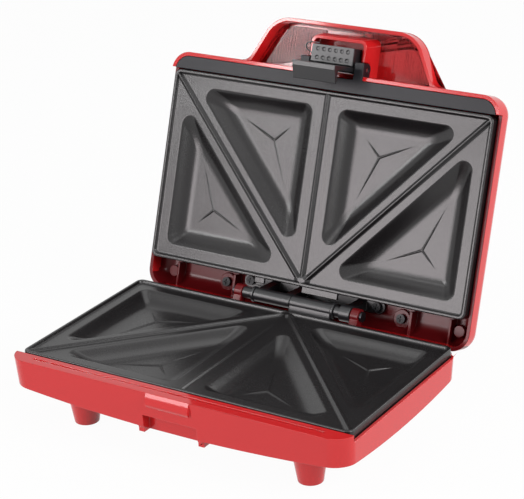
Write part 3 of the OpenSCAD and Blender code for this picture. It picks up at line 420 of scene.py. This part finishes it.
# Raised seams: one down the middle and two to the front corners, with a hub where they meet

seam = dict(middleStart=-3.7, middleEnd=1.5, sideStart=-1.6, sideEnd=(2.0, 2.4))  # ends from edges
seamProfile = [  # across the seam, height above the land
    (-2.3, -0.02), (-1.75, 0.07), (-1.35, 0.3), (-1.0, 0.78), (-0.72, 1.22),
    (-0.45, 1.5), (-0.15, 1.6), (0.15, 1.6), (0.45, 1.5), (0.72, 1.22), (1.0, 0.78),
    (1.35, 0.3), (1.75, 0.07), (2.3, -0.02),
]
hub = dict(
    y=-3.7, foot=4.6, top=2.6, height=1.62, middle=0.8, stretch=(1.25, 0.8), sides=48,
    edge=1.1, edgeSteps=5,
)


def addSeam(bm, start, end):
    run = end - start
    across = Vector((-run.y, run.x)).normalized()
    points = [(*(start + across * s), plate["land"] + h) for s, h in seamProfile]
    pushRow(bm, startRow(bm, points)[1], (*run, 0))


def addSeams(bm):
    half, front = plate["halfWidth"], -plate["depth"]
    addSeam(bm, Vector((0, seam["middleStart"])), Vector((0, front + seam["middleEnd"])))
    for side in (1, -1):
        end = Vector(((half - seam["sideEnd"][0]) * side, front + seam["sideEnd"][1]))
        addSeam(bm, Vector((0, seam["sideStart"])), end)


def addHub(bm):
    middle = plate["land"] + hub["middle"]
    made = bmesh.ops.create_cone(
        bm, cap_ends=True, segments=hub["sides"], radius1=hub["foot"], radius2=hub["top"],
        depth=hub["height"],
        matrix=Matrix.Translation((0, hub["y"], middle)) @ Matrix.Diagonal((*hub["stretch"], 1, 1)),
    )
    topEdges = [
        e for e in {e for v in made["verts"] for e in v.link_edges}
        if all(v.co.z > middle for v in e.verts)
    ]
    bmesh.ops.bevel(
        bm, geom=topEdges, offset=hub["edge"], segments=hub["edgeSteps"], profile=0.5,
        affect="EDGES", material=-1,
    )


# Marks on the pockets' floors: three thin arms that run from one point towards the corners

mark = dict(
    height=0.7, sunk=0.1, start=-0.5, halfWidth=0.95, reaches=(13.9, 24.7, 29.8),
    frontMiddle=(37.0, -85.0), sideMiddle=(74.0, -35.0),
    section=((-1, 0), (-0.4, 0.85), (0, 1), (0.4, 0.85), (1, 0)),
    stations=((0.45, 0.79, 1.0), (1.0, 0.133, 0.2)),  # share of the reach, then narrower and lower by
)


def addMark(bm, corners, middle, side):
    floor = plate["land"] - pocketFace["profile"][-1][1] - mark["sunk"]
    height = mark["height"] + mark["sunk"]
    for corner, reach in zip(corners, mark["reaches"]):
        row, edges = startRow(
            bm, [(mark["start"], s * mark["halfWidth"], h * height) for s, h in mark["section"]]
        )
        arm, at = list(row), mark["start"]
        for share, narrower, lower in mark["stations"]:
            row, edges = pushRow(bm, edges, (share * reach - at, 0, 0))
            bmesh.ops.scale(bm, verts=row, vec=(1, narrower, lower))
            arm += row
            at = share * reach
        bmesh.ops.contextual_create(bm, geom=row)
        along = corner - middle
        place = Matrix.Translation((*middle, floor)) @ Matrix.Rotation(
            math.atan2(along.y, along.x), 4, "Z"
        )
        bmesh.ops.transform(bm, matrix=Matrix.Diagonal((side, 1, 1, 1)) @ place, verts=arm)


def addMarks(bm):
    frontPocket, sidePocket = pocketCorners()
    for side in (1, -1):
        addMark(bm, frontPocket, Vector(mark["frontMiddle"]), side)
        addMark(bm, sidePocket, Vector(mark["sideMiddle"]), side)


# Posts and the thermostat's boss under the plate, and the upper plate's lugs

post = dict(radius=3.2, end=-14.0, frontX=50.0, rearX=60.0, fromEdge=5.6, sunk=1.0, sides=32)
boss = dict(radius=6.5, end=-7.0, y=-66.0)
lug = dict(  # spans: left, right and how far back
    spans=((1.0, 26.0, 3.8), (-33.0, -26.0, 3.2)), root=-1.5, z=-2.0, thick=2.0, edge=0.4, edgeSteps=2,
)


def addPost(bm, x, y, radius, end):
    top = plate["land"] - post["sunk"]
    bmesh.ops.create_cone(
        bm, cap_ends=True, segments=post["sides"], radius1=radius, radius2=radius,
        depth=top - end, matrix=Matrix.Translation((x, y, (top + end) / 2)),
    )


def addPosts(bm):
    for side in (1, -1):
        frontY = -plate["depth"] + post["fromEdge"]
        addPost(bm, post["frontX"] * side, frontY, post["radius"], post["end"])
        addPost(bm, post["rearX"] * side, -post["fromEdge"], post["radius"], post["end"])
    addPost(bm, 0, boss["y"], boss["radius"], boss["end"])


def addLugs(bm):
    for left, right, back in lug["spans"]:
        middle = ((left + right) / 2, (back + lug["root"]) / 2, lug["z"])
        size = (right - left, back - lug["root"], lug["thick"], 1)
        made = bmesh.ops.create_cube(
            bm, size=1.0, matrix=Matrix.Translation(middle) @ Matrix.Diagonal(size),
        )
        edges = list({e for v in made["verts"] for e in v.link_edges})
        bmesh.ops.bevel(
            bm, geom=edges, offset=lug["edge"], segments=lug["edgeSteps"], profile=0.5,
            affect="EDGES", material=-1,
        )


def cookingPlate(name, body, upper):
    bm = plateMesh()
    addSeams(bm)
    addHub(bm)
    addMarks(bm)
    addPosts(bm)
    if upper:
        addLugs(bm)
        bmesh.ops.scale(bm, verts=bm.verts, vec=(1, 1, -1))  # its face looks down
    bmesh.ops.recalc_face_normals(bm, faces=bm.faces)
    bmesh.ops.transform(bm, matrix=homes[body], verts=bm.verts)
    piece = finishMesh(bm, name, body, nonStick)
    smoothBy(piece, plate["smoothAngle"], plate["smoothWeight"])
    return piece


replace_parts(cookingPlate("lowerPlate", "base", False), "lower_plate")
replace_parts(cookingPlate("upperPlate", "lid", True), "upper_plate")
print("plates made")

# Moulded and turned pieces carried over from the drawing, with their edges softened. In the
# shells, the faces within the given box take painted shade: a darker red for the cavities' shade.

softPieces = {
    "redLid": dict(
        node="lid_shell", body="lid", material=redGloss, slot="red_shell", edge=0.0003,
        paintedShadeBox=((-111.3, -118.0, -0.6), (111.3, 17.4, 20.9)),
    ),
    "redBase": dict(
        node="base_shell", body="base", material=redGloss, slot="red_shell", edge=0.0003,
        paintedShadeBox=((-111.3, 0.6, -30.0), (111.3, 17.4, 12.0)),
    ),
    "latchBand": dict(
        node="lid_front_band", body="lid", material=blackSatin, slot="black_trim", edge=0.0003,
    ),
    "latchLever": dict(
        node="latch_lever", body="latch", material=blackGloss, slot="black_trim", edge=0.0003,
    ),
    "baseHinge": dict(
        node="base_hinge_bracket", body="base", material=blackGloss, slot="black_trim", edge=0.0003,
    ),
    "lidHinge": dict(
        node="lid_hinge_bracket", body="lid", material=blackGloss, slot="black_trim", edge=0.0003,
    ),
    "hingeRings": dict(
        node="hinge_spacers", body="base", material=blackGloss, slot="black_trim", edge=0.0002,
    ),
}


# points this near in metres are merged, and faces this level in degrees become one
softening = dict(
    mergeWithin=2e-6, flatWithin=0.3, sharpFrom=32, segments=2, smoothAngle=40, smoothWeight=60,
)


def softEdges(piece, width):
    bevel = piece.modifiers.new("softEdges", "BEVEL")
    bevel.width = width
    bevel.segments = softening["segments"]
    bevel.limit_method = "ANGLE"
    bevel.angle_limit = math.radians(softening["sharpFrom"])
    bevel.use_clamp_overlap = False
    bevel.miter_outer = "MITER_ARC"


def softCopy(name, node, body, material, slot, edge, paintedShadeBox=None):
    bm = bmesh.new()
    bm.from_mesh(nodes[node].data)
    bmesh.ops.remove_doubles(bm, verts=bm.verts, dist=softening["mergeWithin"])
    bmesh.ops.dissolve_limit(
        bm, angle_limit=math.radians(softening["flatWithin"]), verts=bm.verts, edges=bm.edges
    )
    materials = [material]
    # faces within the box get painted shade, a darker red standing in for the shade in the cavities
    if paintedShadeBox:
        materials.append(redPaintedShade)
        low, high = paintedShadeBox
        toDrawing = homes[body].inverted()
        for face in bm.faces:
            at = toDrawing @ face.calc_center_median()
            if all(low[k] < at[k] < high[k] for k in range(3)):
                face.material_index = 1
    piece = finishMesh(bm, name, body, *materials)
    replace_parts(piece, node)
    softEdges(piece, edge)
    smoothBy(piece, softening["smoothAngle"], softening["smoothWeight"])


for name, settings in softPieces.items():
    softCopy(name, **settings)
print("softened copies made")

# The frame's other pieces keep their shape and take these finishes

finishes = {
    "foot_pads": padRubber, "lower_plate_screws": darkSteel, "lower_element": elementSheath,
    "lower_clamps": brightSteel, "lower_reflector": reflectorSheet,
    "lower_reflector_screws": darkSteel, "lower_thermostat": paleCeramic,
    "thermal_fuse": brightSteel, "terminal_block": paleCeramic, "base_hinge_screws": darkSteel,
    "hinge_pin": blackWire, "cord_gland": padRubber, "upper_element": elementSheath,
    "upper_clamps": brightSteel, "upper_reflector": reflectorSheet,
    "upper_reflector_screws": darkSteel, "upper_thermostat": paleCeramic,
    "lid_screws": blackSatin, "lamp_lenses": amberLens, "lamp_tubes": clearGlass,
    "latch_pin": brightSteel, "latch_spring": blackWire,
}
for node, material in finishes.items():
    mesh = nodes[node].data
    mesh.materials.clear()
    mesh.materials.append(material)
print("finishes given")

# Camera: angles in degrees, distance and target in the drawing's millimetres, and the focal
# length and the picture's width in pixels

shot = dict(
    azimuth=32.92, elevation=22.29, roll=-2.37, distance=1094.3, target=(25.3, -66.6, 69.3),
    focal=1953.5, imageWidth=524.0, sensor=36.0, near=0.01, far=50,
)


def makeCamera():
    az, el, roll = (math.radians(shot[k]) for k in ("azimuth", "elevation", "roll"))
    back = Vector((math.sin(az) * math.cos(el), -math.cos(az) * math.cos(el), math.sin(el)))
    right = (-back).cross(Vector((0, 0, 1))).normalized()
    up = right.cross(-back)
    level = right * math.cos(roll) + up * math.sin(roll)
    head = up * math.cos(roll) - right * math.sin(roll)
    data = bpy.data.cameras.new("camera")
    data.sensor_width = shot["sensor"]
    data.sensor_fit = "HORIZONTAL"
    data.lens = shot["focal"] * shot["sensor"] / shot["imageWidth"]
    data.clip_start, data.clip_end = shot["near"], shot["far"]
    camera = linkObject("camera", data)
    place = toFrame @ (Vector(shot["target"]) + back * shot["distance"])
    turn = Matrix((level, head, back)).transposed().to_4x4()
    camera.matrix_world = Matrix.Translation(place) @ turn
    bpy.context.scene.camera = camera


makeCamera()

# each lamp is a soft box: where it stands, what it faces, its width and height, and its brightness,
# where 1 is as bright as white paper
lamps = {
    "lowFront": dict(
        place=(-0.462, -1.046, 0.305), aim=(0, 0.03, 0.15), size=(0.52, 0.46), shine=7.6,
        color=(1.0, 0.93, 0.95),
    ),
    "highFront": dict(
        place=(-0.70, -0.831, 0.61), aim=(0, 0.03, 0.15), size=(0.22, 0.22), shine=17.0,
    ),
    "overhead": dict(place=(-0.5, -0.75, 1.25), aim=(0, 0, 0.08), size=(0.5, 0.3), shine=3.0),
    "right": dict(place=(1.25, -0.25, 0.75), aim=(0, 0, 0.08), size=(0.7, 0.9), shine=7.5),
    "rightBack": dict(place=(0.95, 0.85, 0.7), aim=(0, 0.05, 0.12), size=(0.6, 0.7), shine=4.5),
    "above": dict(place=(0.05, 0.1, 1.5), aim=(0, 0, 0.05), size=(1.0, 1.0), shine=1.3),
}


def softBox(name, place, aim, size, shine, color=(1, 1, 1)):
    data = bpy.data.lights.new(name, "AREA")
    data.shape = "RECTANGLE"
    data.size, data.size_y = size
    data.energy = shine * math.pi * size[0] * size[1]
    data.color = color
    facing = (Vector(aim) - Vector(place)).to_track_quat("-Z", "Y").to_matrix().to_4x4()
    linkObject(name, data).matrix_world = Matrix.Translation(place) @ facing


for name, settings in lamps.items():
    softBox(name, **settings)

# The room is white all round, and its pale floor glows where it is seen, so that it looks white too

room = dict(seenWhite=1.0, litWhite=0.22, floorSize=6.0, floorTone=0.7, floorGlow=0.965)


def seenMask(tree):
    # 1 where the camera, a reflection or a refraction looks at it
    path = addNode(tree, "ShaderNodeLightPath")
    first = addNode(tree, "ShaderNodeMath", operation="MAXIMUM")
    link(tree, path.outputs["Is Camera Ray"], first.inputs[0])
    link(tree, path.outputs["Is Glossy Ray"], first.inputs[1])
    second = addNode(tree, "ShaderNodeMath", operation="MAXIMUM")
    link(tree, first.outputs[0], second.inputs[0])
    link(tree, path.outputs["Is Transmission Ray"], second.inputs[1])
    return second.outputs[0]


def mixInto(tree, outKind, share, first, second):
    mix = addNode(tree, "ShaderNodeMixShader")
    link(tree, share, mix.inputs[0])
    link(tree, first.outputs[0], mix.inputs[1])
    link(tree, second.outputs[0], mix.inputs[2])
    link(tree, mix.outputs[0], addNode(tree, outKind).inputs[0])


def makeWorld():
    world = bpy.data.worlds.new("studio")
    bpy.context.scene.world = world
    world.use_nodes = True
    tree = world.node_tree
    tree.nodes.clear()
    seen = addNode(tree, "ShaderNodeBackground")
    seen.inputs["Strength"].default_value = room["seenWhite"]
    lit = addNode(tree, "ShaderNodeBackground")
    lit.inputs["Strength"].default_value = room["litWhite"]
    for shade in (seen, lit):
        shade.inputs["Color"].default_value = (1, 1, 1, 1)
    mixInto(tree, "ShaderNodeOutputWorld", seenMask(tree), lit, seen)


def makeFloor():
    bm = bmesh.new()
    bmesh.ops.create_grid(bm, x_segments=1, y_segments=1, size=room["floorSize"])
    mesh = bpy.data.meshes.new("floor")
    bm.to_mesh(mesh)
    bm.free()
    material = bpy.data.materials.new("paleFloor")
    material.use_nodes = True
    tree = material.node_tree
    tree.nodes.clear()
    matte = addNode(tree, "ShaderNodeBsdfDiffuse")
    tone = room["floorTone"]
    matte.inputs["Color"].default_value = (tone, tone, tone, 1)
    glow = addNode(tree, "ShaderNodeEmission")
    glow.inputs["Strength"].default_value = 1.0
    share = addNode(tree, "ShaderNodeMath", operation="MULTIPLY")
    link(tree, seenMask(tree), share.inputs[0])
    share.inputs[1].default_value = room["floorGlow"]
    mixInto(tree, "ShaderNodeOutputMaterial", share.outputs[0], matte, glow)
    mesh.materials.append(material)
    linkObject("floor", mesh)


makeWorld()
makeFloor()
bpy.context.scene.view_settings.view_transform = "Standard"
print("camera, lights and floor made")
